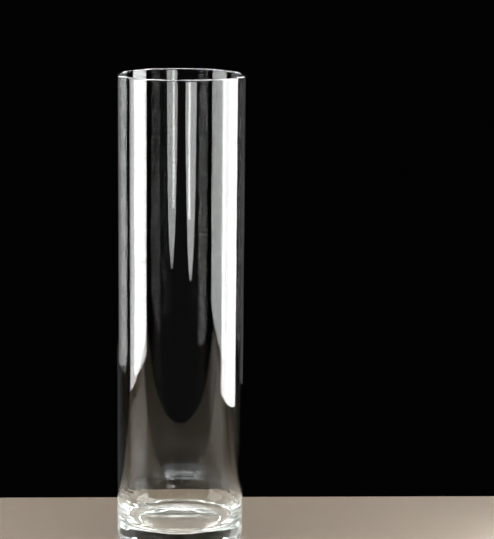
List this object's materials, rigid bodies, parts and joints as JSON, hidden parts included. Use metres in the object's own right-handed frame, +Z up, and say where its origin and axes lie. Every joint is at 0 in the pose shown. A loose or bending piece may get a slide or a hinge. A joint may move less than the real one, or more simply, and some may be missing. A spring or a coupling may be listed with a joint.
{
  "type": "cylinder vase",
  "caption": "Tall straight clear glass cylinder vase with a fire-polished rim, a thick base and a flat foot ring, for long-stemmed flowers.",
  "frame": {"origin": "centre of the foot on the surface the vase stands on", "axes": "+Z up along the vase's axis, from the foot to the mouth; X and Y are any two level directions, because the vase is round"},
  "size_m": [0.1, 0.1, 0.37],
  "materials": {
    "clear_glass": "polished clear soda-lime glass"
  },
  "bodies": {
    "root": {"rim_lip": "clear_glass", "cylinder_wall": "clear_glass", "rippled_wall": "clear_glass", "inner_heel": "clear_glass", "base_disc": "clear_glass", "foot_ring": "clear_glass"}
  },
  "joints": []
}
